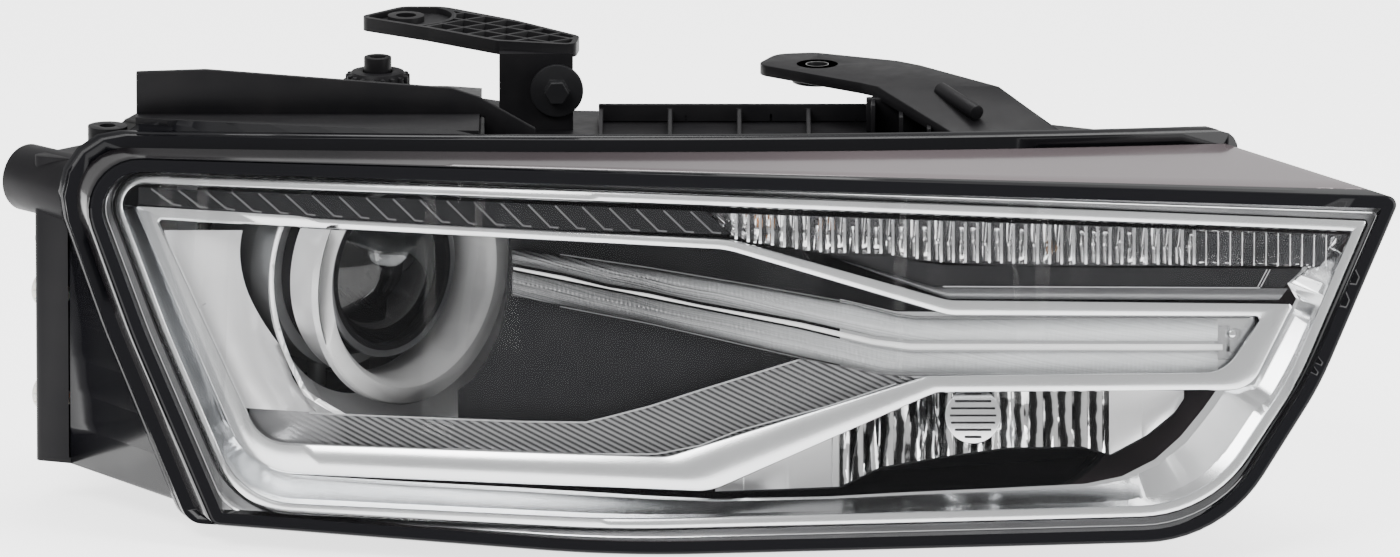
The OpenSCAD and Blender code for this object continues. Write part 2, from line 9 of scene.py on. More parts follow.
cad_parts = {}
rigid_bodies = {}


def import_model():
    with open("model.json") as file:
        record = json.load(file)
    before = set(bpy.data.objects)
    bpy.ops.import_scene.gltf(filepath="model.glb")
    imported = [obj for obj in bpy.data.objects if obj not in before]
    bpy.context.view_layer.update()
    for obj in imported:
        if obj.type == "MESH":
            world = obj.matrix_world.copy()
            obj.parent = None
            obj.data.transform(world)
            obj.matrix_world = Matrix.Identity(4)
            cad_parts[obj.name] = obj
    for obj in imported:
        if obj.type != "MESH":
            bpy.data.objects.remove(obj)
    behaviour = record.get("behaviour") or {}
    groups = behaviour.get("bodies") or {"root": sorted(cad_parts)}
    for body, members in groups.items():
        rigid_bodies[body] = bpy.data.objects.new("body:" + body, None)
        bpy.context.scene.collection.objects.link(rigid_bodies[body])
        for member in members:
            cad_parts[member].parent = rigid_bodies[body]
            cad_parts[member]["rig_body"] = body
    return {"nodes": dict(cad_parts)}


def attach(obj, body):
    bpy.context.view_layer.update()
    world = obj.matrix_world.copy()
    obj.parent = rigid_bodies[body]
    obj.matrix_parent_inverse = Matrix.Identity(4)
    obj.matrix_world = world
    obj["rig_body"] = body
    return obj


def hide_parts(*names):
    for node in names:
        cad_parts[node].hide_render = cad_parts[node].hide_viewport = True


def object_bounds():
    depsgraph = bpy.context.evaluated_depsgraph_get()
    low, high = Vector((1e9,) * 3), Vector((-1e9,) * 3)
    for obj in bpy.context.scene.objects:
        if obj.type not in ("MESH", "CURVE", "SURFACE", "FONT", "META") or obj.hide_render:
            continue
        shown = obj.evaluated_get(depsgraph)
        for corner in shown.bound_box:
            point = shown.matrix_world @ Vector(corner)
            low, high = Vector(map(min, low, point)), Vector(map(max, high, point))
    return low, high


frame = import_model()
cad_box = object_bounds()
nodes = frame["nodes"]

# ---- the lamp's own measures, in millimetres, as in the design ----

MM = 0.001
LENS_LEAN = math.radians(13)
LENS_RADIUS = 900
LENS_APEX = 60
INWARD = 1.4
RIM_WIDTH = 5.5
WALL = 2.6
AXIS_YAW = math.radians(44)
LIGHT_B = -30
LIGHT_Z = 13
RING_A = 145.5
REAR_A = 282
BEAM_X = 117
BEAM_Z = -28
FLOOR_Z = -75
CAP_CENTRE = (20, 204.4, -20)
KNOB_CENTRE = (-140, 193, 71)
ADJUSTER_B = -110
ADJUSTER_Z = {"height_adjuster": -50, "side_adjuster": -4}
CAMERA_LENS = 604
CAMERA_AWAY = 10034
LOOK_Z = 30.7
DATUM = Vector((-51, -205, -80))

UPRIGHT = Matrix.Scale(MM, 4) @ Matrix.Translation(DATUM)
FACE = UPRIGHT @ Matrix.Rotation(-LENS_LEAN, 4, "X")
OPTICAL = UPRIGHT @ Matrix.Rotation(AXIS_YAW, 4, "Z")

# corner points of the face outlines: across, up, corner radius
RIM = [(-272.5, 83, 22), (300.5, 66, 4), (265.5, -15, 150), (223.5, -81.5, 62),
       (-34.5, -88, 700), (-209, -75, 5), (-243.5, 5, 300)]
CHROME = [(-259.5, 77, 14), (286.5, 55.5, 1.5), (256.5, -14, 150), (218.5, -70.5, 58),
          (-34.5, -77, 700), (-199.5, -69.5, 39), (-233, 7.5, 300)]
LOOP_OUTER = [(-244.5, 63, 2), (12, 48, 45), (106.5, 21.5, 25), (254.5, 20, 1.5),
              (236, -17, 14), (101, -18, 12), (4.5, -60.5, 25), (-194, -52.5, 32)]
LOOP_INNER = [(-233, 56, 1), (11, 43, 45), (106.5, 15, 25), (241, 14.5, 1.5),
              (224.5, -9.5, 16), (97, -11, 8), (-14, -45.5, 25), (-188.5, -39.5, 18)]

FILLET_STEPS = 10
SPAN = 7


# ---- finishes ----

class Sum:
    """A socket that adds Math nodes when it is used in an expression."""

    def __init__(self, finish, socket):
        self.finish, self.socket = finish, socket

    def maths(self, operation, *values):
        node = self.finish.tree.nodes.new("ShaderNodeMath")
        node.operation = operation
        for place, value in enumerate((self, *values)):
            self.finish.feed(node.inputs[place], value)
        return Sum(self.finish, node.outputs[0])

    def flipped(self, operation, value):
        node = self.finish.tree.nodes.new("ShaderNodeMath")
        node.operation = operation
        self.finish.feed(node.inputs[0], value)
        self.finish.feed(node.inputs[1], self)
        return Sum(self.finish, node.outputs[0])

    def __add__(self, other):
        return self.maths("ADD", other)

    __radd__ = __add__

    def __mul__(self, other):
        return self.maths("MULTIPLY", other)

    __rmul__ = __mul__

    def __sub__(self, other):
        return self.maths("SUBTRACT", other)

    def __rsub__(self, other):
        return self.flipped("SUBTRACT", other)

    def __truediv__(self, other):
        return self.maths("DIVIDE", other)

    def __gt__(self, other):
        return self.maths("GREATER_THAN", other)


class Finish:
    """A material with one Principled shader; constants are set on its own sockets."""

    def __init__(self, name, **constants):
        self.material = bpy.data.materials.new(name)
        self.material.use_nodes = True
        self.tree = self.material.node_tree
        self.shader = self.tree.nodes["Principled BSDF"]
        for socket, value in constants.items():
            words = socket.replace("_", " ").title().replace("Ior", "IOR")
            self.shader.inputs[words].default_value = (*value, 1) if isinstance(value, tuple) else value

    def feed(self, socket, value):
        if isinstance(value, Sum):
            self.tree.links.new(value.socket, socket)
        elif isinstance(value, tuple) and len(value) == 3 and socket.type == "RGBA":
            socket.default_value = (*value, 1)
        else:
            socket.default_value = value

    def node(self, kind, output=0, settings=None, stops=None, **sockets):
        made = self.tree.nodes.new(kind)
        for name, value in (settings or {}).items():
            setattr(made, name, value)
        for place, (position, colour) in enumerate(stops or []):
            ramp = made.color_ramp.elements
            stop = ramp[place] if place < 2 else ramp.new(position)
            stop.position, stop.color = position, (*colour, 1)
        for name, value in sockets.items():
            self.feed(made.inputs[name.replace("_", " ")], value)
        return Sum(self, made.outputs[output])

    def place(self):
        return self.node("ShaderNodeTexCoord", output=3)

    def axis(self, which):
        return self.node("ShaderNodeSeparateXYZ", output="XYZ".index(which), Vector=self.place())

    def noise(self, scale, detail=3.0):
        return self.node("ShaderNodeTexNoise", Vector=self.place(), Scale=scale, Detail=detail)

    def sets(self, socket, value):
        self.feed(self.shader.inputs[socket], value)
        return self

    def bumped(self, height, strength, distance):
        bump = self.node("ShaderNodeBump", Height=height, Strength=strength, Distance=distance)
        return self.sets("Normal", bump)

    def blended(self, low, high, share):
        ramp = self.node("ShaderNodeValToRGB", stops=[(0.0, low), (1.0, high)], Fac=share)
        return self.sets("Base Color", ramp)

    def varied(self, middle, swing, scale):
        return self.sets("Roughness", self.noise(scale) * (2 * swing) + (middle - swing))


def gloss_black():
    made = Finish("gloss_black", base_color=(0.004, 0.004, 0.005), specular_ior_level=0.14)
    made.varied(0.14, 0.05, 40)
    return made.material


def skirt_plum():
    made = Finish("skirt_plum", metallic=0.35, coat_weight=0.5, coat_roughness=0.08)
    # painted light: the skirt's own colour is a blackish mauve; the ramp from near black on the left to a
    # lighter mauve on the right is painted light on the turned shoulder
    inner = (made.axis("X") + 0.17) / 0.22 + made.noise(10) * 0.3
    made.blended((0.006, 0.005, 0.006), (0.15, 0.125, 0.132), inner)
    made.varied(0.16, 0.06, 25)
    return made.material


def moulded_black(name="moulded_black", low=(0.004, 0.004, 0.005), high=(0.01, 0.0095, 0.01)):
    made = Finish(name, specular_ior_level=0.1)
    made.blended(low, high, made.noise(60))
    made.varied(0.46, 0.12, 120)
    made.bumped(made.noise(2600, 2.0), 0.06, 0.0001)
    return made.material


def satin_chrome():
    made = Finish("satin_chrome", base_color=(0.86, 0.87, 0.88), metallic=1.0)
    made.varied(0.2, 0.05, 30)
    made.bumped(made.noise(1800, 2.0), 0.03, 0.0001)
    return made.material


def mirror_metal():
    made = Finish("mirror_metal", base_color=(0.88, 0.89, 0.9), metallic=1.0)
    made.varied(0.06, 0.03, 20)
    return made.material


def satin_ring():
    made = Finish("satin_ring", metallic=0.2)
    made.blended((0.55, 0.55, 0.55), (0.64, 0.64, 0.64), made.noise(200))
    made.varied(0.42, 0.06, 400)
    return made.material


def trim_grey():
    made = Finish("trim_grey", metallic=0.7)
    made.blended((0.12, 0.122, 0.125), (0.19, 0.19, 0.195), made.noise(30))
    made.varied(0.32, 0.08, 90)
    return made.material


def trim_black(name="trim_black"):
    made = Finish(name, specular_ior_level=0.12)
    made.blended((0.008, 0.008, 0.009), (0.014, 0.014, 0.015), made.noise(60))
    made.varied(0.4, 0.08, 300)
    return made.material


def silver_paint():
    made = Finish("silver_paint", metallic=0.55)
    made.blended((0.78, 0.78, 0.785), (0.86, 0.86, 0.865), made.noise(20))
    made.varied(0.3, 0.06, 60)
    return made.material


def mirror_painted_reflections(name, pitch):
    """Metallised facets with painted reflections: dark and bright upright streaks, painted into the colour at
    a pitch in metres.
    """
    made = Finish(name, metallic=1.0, roughness=0.08)
    wave = (made.axis("X") * (2 * math.pi / pitch) + made.noise(70) * 5).maths("SINE") * 0.5 + 0.5
    ramp = made.node("ShaderNodeValToRGB", Fac=wave + made.noise(240) * 0.5 - 0.25,
                     stops=[(0.0, (0.02, 0.02, 0.02)), (1.0, (0.95, 0.95, 0.95)), (0.42, (0.06, 0.06, 0.06)),
                            (0.6, (0.8, 0.8, 0.8))])
    made.sets("Base Color", ramp)
    return made.material


def hatched_grey():
    """Fine diagonal grooves with plain grey between them."""
    made = Finish("hatched_grey", metallic=0.55)
    groove = ((made.axis("X") * 0.42 + made.axis("Z") * 0.91) * 2990).maths("SINE") * 0.5 + 0.5
    grooved = ((made.axis("X") + 0.236) * 30).maths("MINIMUM", 1).maths("MAXIMUM", 0)
    groove = groove * grooved + (1 - grooved) * 1.6
    made.blended((0.02, 0.02, 0.021), (0.24, 0.24, 0.245), groove)
    made.varied(0.36, 0.05, 60)
    made.bumped(groove, 0.4, 0.0002)
    return made.material


def die_cast():
    made = Finish("die_cast", metallic=0.9)
    made.blended((0.32, 0.325, 0.33), (0.45, 0.455, 0.46), made.noise(90))
    made.varied(0.42, 0.08, 200)
    made.bumped(made.noise(1500), 0.12, 0.0002)
    return made.material


def zinc_steel():
    made = Finish("zinc_steel", metallic=1.0)
    made.blended((0.42, 0.42, 0.41), (0.56, 0.56, 0.55), made.noise(160))
    made.varied(0.3, 0.08, 300)
    return made.material


def nylon_white():
    made = Finish("nylon_white", subsurface_weight=0.1)
    made.blended((0.62, 0.6, 0.54), (0.72, 0.7, 0.64), made.noise(80))
    made.varied(0.42, 0.08, 120)
    return made.material


def soft_rubber():
    made = Finish("soft_rubber")
    made.blended((0.01, 0.01, 0.01), (0.02, 0.02, 0.02), made.noise(120))
    made.varied(0.72, 0.1, 300)
    return made.material


def copper_winding():
    made = Finish("copper_winding", metallic=0.9)
    wire = (made.axis("X") * 9000).maths("SINE") * 0.5 + 0.5
    made.blended((0.16, 0.06, 0.02), (0.42, 0.2, 0.09), wire)
    made.varied(0.3, 0.05, 100)
    return made.material


def solder_green():
    made = Finish("solder_green", coat_weight=0.4)
    made.blended((0.01, 0.06, 0.03), (0.02, 0.11, 0.05), made.noise(500))
    made.varied(0.3, 0.05, 100)
    return made.material


def amber_glass():
    made = Finish("amber_glass", transmission_weight=0.7, ior=1.5)
    made.blended((0.8, 0.3, 0.03), (0.9, 0.42, 0.06), made.noise(120))
    made.varied(0.1, 0.04, 90)
    return made.material


def solid_glass(name="solid_glass", tint=(0.93, 0.96, 0.97)):
    made = Finish(name, base_color=tint, transmission_weight=1.0, ior=1.5)
    made.varied(0.02, 0.015, 30)
    return made.material


def light_plastic(name="light_plastic", tint=(0.86, 0.89, 0.91), clear=0.55):
    made = Finish(name, base_color=tint, transmission_weight=clear, ior=1.49)
    made.varied(0.14, 0.05, 60)
    return made.material


def guide_prism():
    """The light guides: dark and streaked at the lamp's outer end, frosted white along the straight part."""
    made = Finish("guide_prism", transmission_weight=0.3, ior=1.49)
    along = ((made.axis("X") + 0.075) / 0.16).maths("MINIMUM", 1).maths("MAXIMUM", 0)
    line = (made.axis("X") * 0.2 + made.axis("Z")) * 160 + made.noise(14)
    streak = made.node("ShaderNodeTexNoise", settings={"noise_dimensions": "1D"}, W=line * 2.5, Scale=4.0)
    made.blended((0.05, 0.05, 0.052), (0.9, 0.92, 0.93), along * 0.8 + streak * 0.45 - 0.12)
    made.varied(0.16, 0.06, 90)
    return made.material


def thin_clear(name, tint, low, high):
    """A clear wall: see-through from the front, brighter where it turns away."""
    made = Finish(name, base_color=tint, roughness=0.03)
    tree = made.tree
    see = tree.nodes.new("ShaderNodeBsdfTransparent")
    mix = tree.nodes.new("ShaderNodeMixShader")
    edge = made.node("ShaderNodeLayerWeight", output=1, Blend=0.35)
    made.feed(mix.inputs[0], edge * (high - low) + low)
    tree.links.new(see.outputs[0], mix.inputs[1])
    tree.links.new(made.shader.outputs[0], mix.inputs[2])
    tree.links.new(mix.outputs[0], tree.nodes["Material Output"].inputs["Surface"])
    return made.material


GLOSS = gloss_black()
SKIRT = skirt_plum()
MOULDED = moulded_black()
CAP = moulded_black("cap_black", (0.008, 0.008, 0.008), (0.016, 0.016, 0.016))
CHROME_SATIN = satin_chrome()
MIRROR = mirror_metal()
SILVER = silver_paint()
# painted reflections: the high beam and signal reflectors get their dark and bright streaks painted into
# their colour
BEAM_PAINTED_REFLECTIONS = mirror_painted_reflections("beam_painted_reflections", 0.0064)
SIGNAL_PAINTED_REFLECTIONS = mirror_painted_reflections("signal_painted_reflections", 0.00516)
RING_METAL = satin_ring()
GREY = trim_grey()
BLACK = trim_black()
HATCH = hatched_grey()
CAST = die_cast()
ZINC = zinc_steel()
NYLON = nylon_white()
RUBBER = soft_rubber()
COPPER = copper_winding()
BOARD = solder_green()
AMBER = amber_glass()
GLASS = solid_glass()
GUIDE = guide_prism()
WHITE = light_plastic("white_insert", (0.95, 0.95, 0.95), 0.1)
CLEAR = thin_clear("clear_cover", (0.03, 0.03, 0.032), 0.05, 0.35)
PRISM = thin_clear("prism_cover", (0.2, 0.2, 0.21), 0.05, 0.5)


# ---- modelling helpers ----

def clear_selection():
    if bpy.context.object and bpy.context.object.mode != "OBJECT":
        bpy.ops.object.mode_set(mode="OBJECT")
    bpy.ops.object.select_all(action="DESELECT")


def pick(piece):
    clear_selection()
    piece.select_set(True)
    bpy.context.view_layer.objects.active = piece


def edit(piece, *operations):
    """Runs edit-mode operations on the whole of a piece."""
    pick(piece)
    bpy.ops.object.mode_set(mode="EDIT")
    bpy.ops.mesh.select_all(action="SELECT")
    for operation in operations:
        operation()
    bpy.ops.object.mode_set(mode="OBJECT")


def merged():
    bpy.ops.mesh.remove_doubles(threshold=0.00001)


def outward():
    bpy.ops.mesh.normals_make_consistent(inside=False)


def modified(piece, kind, **settings):
    pick(piece)
    modifier = piece.modifiers.new(kind.lower(), kind)
    for name, value in settings.items():
        setattr(modifier, name, value)
    bpy.ops.object.modifier_apply(modifier=modifier.name)


def cut(piece, cutter, operation="DIFFERENCE"):
    modified(piece, "BOOLEAN", object=cutter, operation=operation, solver="EXACT")
    bpy.data.objects.remove(cutter)


def bevelled(piece, width, segments=2, angle=30):
    modified(piece, "BEVEL", width=width, segments=segments, limit_method="ANGLE",
             angle_limit=math.radians(angle), harden_normals=False)


def smoothed(piece, angle=35):
    pick(piece)
    bpy.ops.object.shade_smooth_by_angle(angle=math.radians(angle))


def coated(piece, material):
    piece.data.materials.clear()
    piece.data.materials.append(material)


def settled(piece, place, material, body, *replaced, bevel=0.0, angle=35):
    """Puts a piece that was made in millimetres into its place, and finishes it."""
    piece.data.transform(piece.matrix_world)
    piece.matrix_world = Matrix.Identity(4)
    piece.data.transform(place)
    if bevel:
        bevelled(piece, bevel * MM)
    smoothed(piece, angle)
    coated(piece, material)
    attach(piece, body)
    if replaced:
        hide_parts(*replaced)
    return piece


def named(name):
    piece = bpy.context.object
    piece.name = name
    piece.data.name = name
    return piece


def block(name, low, high):
    """A box between two corners, in millimetres."""
    clear_selection()
    middle = [(a + b) / 2 for a, b in zip(low, high)]
    bpy.ops.mesh.primitive_cube_add(size=1, location=middle)
    piece = named(name)
    piece.scale = [abs(b - a) for a, b in zip(low, high)]
    bpy.ops.object.transform_apply()
    return piece


def rod(name, start, direction, radius, length, sides=48):
    """A cylinder from a point along a direction, in millimetres."""
    clear_selection()
    bpy.ops.mesh.primitive_cylinder_add(vertices=sides, radius=radius, depth=length)
    piece = named(name)
    way = Vector(direction).normalized()
    turn = way.to_track_quat("Z", "Y").to_matrix().to_4x4()
    piece.data.transform(Matrix.Translation(Vector(start) + way * length / 2) @ turn)
    return piece


def turned(name, profile, centre, direction, sides=96):
    """A closed profile of (radius, distance) points revolved about a line."""
    rows = []
    for step in range(sides):
        angle = 2 * math.pi * step / sides
        rows.append([(r * math.cos(angle), r * math.sin(angle), h) for r, h in profile])
    piece = lofted(name, rows)
    turn = Vector(direction).normalized().to_track_quat("Z", "Y").to_matrix().to_4x4()
    piece.data.transform(Matrix.Translation(Vector(centre)) @ turn)
    return piece


def lofted(name, rows, ring=True):
    """A skin through rows of points, closed round each row, and from the last row to the first."""
    rows = [list(row) + [row[0]] for row in rows]
    if ring:
        rows.append(rows[0])
    clear_selection()
    bpy.ops.mesh.primitive_grid_add(x_subdivisions=len(rows[0]) - 1, y_subdivisions=len(rows) - 1)
    piece = named(name)
    for vertex, point in zip(piece.data.vertices, (p for row in rows for p in row)):
        vertex.co = point
    edit(piece, merged, outward)
    return piece


def joined(name, pieces):
    clear_selection()
    for piece in pieces:
        piece.select_set(True)
    bpy.context.view_layer.objects.active = pieces[0]
    if len(pieces) > 1:
        bpy.ops.object.join()
    return named(name)


def refined(node, material, bevel, angle=30, segments=2):
    """A smooth, bevelled copy of a CAD node that stands for it."""
    pick(nodes[node])
    bpy.ops.object.duplicate()
    piece = named(node + "_finished")
    body = piece["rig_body"]
    piece.parent = None
    for key in list(piece.keys()):
        del piece[key]
    edit(piece, merged, lambda: bpy.ops.mesh.dissolve_limited(angle_limit=math.radians(0.4)))
    if bevel:
        bevelled(piece, bevel * MM, segments, angle)
    smoothed(piece, angle)
    coated(piece, material)
    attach(piece, body)
    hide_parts(node)
    return piece


# ---- outlines on the leaning face ----

def unit(v):
    return v / v.length


def arc(corners, i, steps=FILLET_STEPS):
    point = Vector(corners[i][:2])
    radius = corners[i][2]
    u = unit(Vector(corners[i - 1][:2]) - point)
    w = unit(Vector(corners[(i + 1) % len(corners)][:2]) - point)
    half = math.acos(max(-1, min(1, u.dot(w)))) / 2
    reach = radius / math.tan(half)
    centre = point + unit(u + w) * radius / math.sin(half)
    start, end, turn = point + u * reach - centre, point + w * reach - centre, math.pi - 2 * half
    return [centre + (start * math.sin((1 - s / steps) * turn) + end * math.sin(s / steps * turn))
            / math.sin(turn) for s in range(steps + 1)]


def inset(corners, distance):
    moved = []
    for i, (x, z, radius) in enumerate(corners):
        point = Vector((x, z))
        e = unit(point - Vector(corners[i - 1][:2]))
        f = unit(Vector(corners[(i + 1) % len(corners)][:2]) - point)
        n, m = Vector((e.y, -e.x)), Vector((f.y, -f.x))
        q = point + (n + m) * distance / (1 + n.dot(m))
        bend = e.x * f.y - e.y * f.x
        moved.append((q.x, q.y, max(radius + (-distance if bend < 0 else distance), 0.4)))
    return moved


def traced(corners, base):
    points = []
    for i in range(len(corners)):
        here, there = arc(corners, i), arc(corners, (i + 1) % len(corners))
        edge = Vector(base[i][:2]) - Vector(base[(i + 1) % len(base)][:2])
        cuts = math.ceil(edge.length / SPAN)
        points += here
        points += [here[-1] + (there[0] - here[-1]) * k / cuts for k in range(1, cuts)]
    return points


def lens_depth(x, d=0.0):
    return LENS_RADIUS - math.sqrt((LENS_RADIUS - d) ** 2 - (x - LENS_APEX - INWARD * d) ** 2)


def face_loop(corners, distance, depth, base=None):
    return [(p.x, lens_depth(p.x, depth), p.y) for p in traced(inset(corners, distance), base or corners)]


def share(x):
    return (x - RIM[0][0]) / (RIM[1][0] - RIM[0][0])


def seam_loop(distance, extra, part=1.0):
    """A loop on the slanted skirt, at a part of the way from the lens to the seam."""
    points = []
    for p in traced(inset(RIM, distance), RIM):
        u = share(p.x)
        t = (14 + 14 * u + 42 * u * u) * part + extra
        points.append((p.x + (-0.4 - 0.6 * u) * t, lens_depth(p.x) + t, p.y + 0.33 * t))
    return points


# ---- lens, rim and seam ----

def lens_rim():
    rows = [face_loop(RIM, RIM_WIDTH, -0.02), face_loop(RIM, 1.2, -0.02), face_loop(RIM, 0.4, 0.3),
            face_loop(RIM, 0.0, 1.2)]
    rows += [seam_loop(0, 0, part) for part in (0.06, 0.12)]
    rows += [seam_loop(WALL, 0, 0.12), face_loop(RIM, WALL, 3), face_loop(RIM, RIM_WIDTH, 3)]
    settled(lofted("lens_rim_finished", rows), FACE, GLOSS, "housing", "lens_rim", angle=3)
    rows = [seam_loop(0.3, 0, 0.125), seam_loop(0, 0, 0.14)]
    rows += [seam_loop(0, 0, part) for part in (0.3, 0.5, 0.75, 1.0)]
    rows += [seam_loop(WALL, 0), seam_loop(WALL, 0, 0.125)]
    settled(lofted("lens_skirt", rows), FACE, SKIRT, "housing")


def lens_cover():
    refined("lens_cover", CLEAR, 0)


def outer_bezel():
    profile = [(0, 9), (0, 6.9), (0.25, 6.3), (0.9, 6), (4.0, 6), (4.5, 6.3), (4.8, 7.2), (5.2, 12),
               (4.2, 12)]
    rows = [face_loop(CHROME, distance, depth) for distance, depth in profile]
    settled(lofted("outer_bezel_finished", rows), FACE, CHROME_SATIN, "housing", "outer_bezel")


SLOPE_EDGE = [(-243, 62), (-236.8, 47.3), (-215.4, -2), (-204.5, -29.5), (-200, -38), (-195.7, -42),
              (-187, -49.2), (-175, -53.6), (-129, -56.3), (-80, -58.8), (-21.5, -62.4), (5, -63.6),
              (55, -62.6), (88, -60.8), (129, -59), (165, -57.2), (180.6, -54), (194.8, -46.8), (205.8, -37),
              (215.6, -25), (222, -16), (236, -14), (246, 4), (255.6, 22), (251, 30), (262, 38), (272, 46)]


def bezel_slope():
    """The wide silver slope between the flat band and what lies inside it."""
    rim_line = [Vector((x, z)) for x, _, z in face_loop(CHROME, 4.6, 0)]
    points = []
    for (x, z), (u, w) in zip(SLOPE_EDGE, SLOPE_EDGE[1:]):
        points += [Vector((x + (u - x) * k / 6, z + (w - z) * k / 6)) for k in range(6)]
    sections = []
    for point in points:
        outer = min(rim_line, key=lambda q: (q - point).length)
        section = []
        for share_in, depth in ((0, 7.4), (0.2, 11), (0.5, 15.4), (0.8, 18.2), (1, 19)):
            q = outer + (point - outer) * share_in
            section.append((q.x, lens_depth(q.x, depth), q.y))
        for q, depth in ((point, 20), (outer, 8.6)):
            section.append((q.x, lens_depth(q.x, depth), q.y))
        sections.append(section)
    piece = lofted("bezel_slope", sections, ring=False)
    edit(piece, lambda: bpy.ops.mesh.fill_holes(sides=0), outward)
    settled(piece, FACE, CHROME_SATIN, "housing", angle=60)


def cheek():
    """The bright hollow between the inner frame and the bowl."""
    left = run((-34, -191), (-25, -196), (12.2, -214.4), (52, -231.5))
    right = run((-34, -147), (-32, -152), (-25, -165), (-13, -175), (3.4, -181), (25.4, -182.5),
                (52, -181))
    sections = []
    for step in range(45):
        z = -33.5 + 85 * step / 44
        a, b = left(z), right(z)
        section = []
        for k in range(9):
            x = a + (b - a) * k / 8
            section.append((x, lens_depth(x, 23 + 9 * (k / 8) ** 2), z))
        section += [(b, lens_depth(b, 33), z), (a, lens_depth(a, 24.6), z)]
        sections.append(section)
    piece = lofted("bowl_cheek", sections, ring=False)
    edit(piece, lambda: bpy.ops.mesh.fill_holes(sides=0), outward)
    piece.data.transform(FACE)
    below_step = along_edge(STEP_TOP, -200, -100, 40) + [(-100, -80), (-260, -80), (-260, -25)]
    cut(piece, shaft("cutter", below_step))
    swivel_room = rod("cutter", (LIGHT_B, 150, LIGHT_Z), (0, 1, 0), 54, 80, 96)
    swivel_room.data.transform(OPTICAL)
    cut(piece, swivel_room)
    settled(piece, Matrix.Identity(4), SILVER, "housing", angle=60)


def drl_frame():
    outer = [(0, 24), (0, 15.2), (0.3, 14.4), (1.1, 14)]
    inner = [(-1.1, 14), (-0.3, 14.4), (0, 15.2), (0, 24)]
    rows = [face_loop(LOOP_OUTER, distance, depth) for distance, depth in outer]
    rows += [face_loop(LOOP_INNER, distance, depth, LOOP_OUTER) for distance, depth in inner]
    settled(lofted("drl_frame_finished", rows), FACE, CHROME_SATIN, "housing", "drl_frame")


def run(*points):
    """A broken line through points, as a function."""
    def height(x):
        for (a, p), (b, q) in zip(points, points[1:]):
            if x <= b:
                return p + (q - p) * (max(x, a) - a) / (b - a)
        return points[-1][1]
    return height


def chance(*cell):
    """A number from 0 to 1 that looks random, the same each time for a cell."""
    return math.sin(sum((3.1 + 7.7 * i) * value for i, value in enumerate(cell)) * 12.9898) * 43758.5453 % 1


def ribbon(name, left, right, top, bottom, front, back, columns, rows=8, tilt=run((0, 0), (1, 0))):
    """A strip across the face; front(x, v) is its depth, v running from its top to its bottom."""
    sections = []
    for step in range(columns + 1):
        x = left + (right - left) * step / columns
        high, low, lean = top(x), bottom(x), tilt(x)
        section = []
        for k in range(rows + 1):
            v = k / rows
            section.append((x + lean * v, lens_depth(x + lean * v, front(x, v)), high + (low - high) * v))
        section.append((x + lean, lens_depth(x + lean, back), low))
        section.append((x, lens_depth(x, back), high))
        sections.append(section)
    piece = lofted(name, sections, ring=False)
    edit(piece, lambda: bpy.ops.mesh.fill_holes(sides=0), outward)
    return piece


def stripe(name, points, width, front, back):
    """A narrow bar along points on the face."""
    path = [Vector(point) for point in points]
    sections = []
    for i, point in enumerate(path):
        way = unit(path[min(i + 1, len(path) - 1)] - path[max(i - 1, 0)])
        side = Vector((-way.y, way.x)) * width / 2
        sections.append([(q.x, lens_depth(q.x, depth), q.y)
                         for q, depth in ((point - side, front), (point + side, front),
                                          (point + side, back), (point - side, back))])
    piece = lofted(name, sections, ring=False)
    edit(piece, lambda: bpy.ops.mesh.fill_holes(sides=0), outward)
    return piece


def along_edge(edge, left, right, steps):
    return [(left + (right - left) * k / steps, edge(left + (right - left) * k / steps))
            for k in range(steps + 1)]


def rim_band():
    """The grey band between the rim and the bright bezel, with a bright line on it."""
    outside, inside = face_loop(RIM, 4.7, 8.2), face_loop(CHROME, -0.5, 9.8, RIM)

    def row(share_in, lift):
        return [(a[0] + (b[0] - a[0]) * share_in, a[1] + (b[1] - a[1]) * share_in - lift,
                 a[2] + (b[2] - a[2]) * share_in) for a, b in zip(outside, inside)]

    rows = [row(0, -1), row(0, 0.6), row(0.25, 0.5), row(0.45, -0.2), row(0.7, 0), row(1, 0), row(1, -1)]
    settled(lofted("rim_trim_finished", rows), FACE, GREY, "housing", "rim_trim")
    rows = [row(0.44, -0.4), row(0.44, 0.5), row(0.52, 0.5), row(0.52, -0.4)]
    settled(lofted("rim_line", rows), FACE, CHROME_SATIN, "housing")


STRIP_TOP = run((-243, 70), (3.5, 59.4))
STRIP_BOTTOM = run((-245, 63), (-190, 58.6), (-129, 55), (-60, 51.6), (14, 49.2))
BAR_PITCH = 11.6


def top_strip():
    tilt = run((-40, 0), (2, 10.5))
    piece = ribbon("top_strip_finished", -241.5, 2.5, STRIP_TOP, STRIP_BOTTOM, lambda x, v: 10.8, 13, 90,
                   tilt=tilt)
    settled(piece, FACE, BLACK, "housing", "top_strip")
    bars = []
    for step in range(21):
        x = -236 + step * BAR_PITCH
        bars.append(stripe("bar", [(x, STRIP_TOP(x) - 0.4), (x + 9.4, STRIP_BOTTOM(x + 9) + 0.9),
                                   (x + 13, STRIP_BOTTOM(x + 12) + 0.7)], 0.75, 10.4, 11.2))
    settled(joined("top_strip_bars", bars), FACE, GREY, "housing")


SIGNAL_TOP = run((3, 58.8), (278, 49.3))
SIGNAL_BOTTOM = run((11, 48.6), (18.5, 46.4), (53, 41.6), (77, 41.2), (104, 37.4), (150, 36.7), (262, 35.8))
RIB_PITCH = 5.16


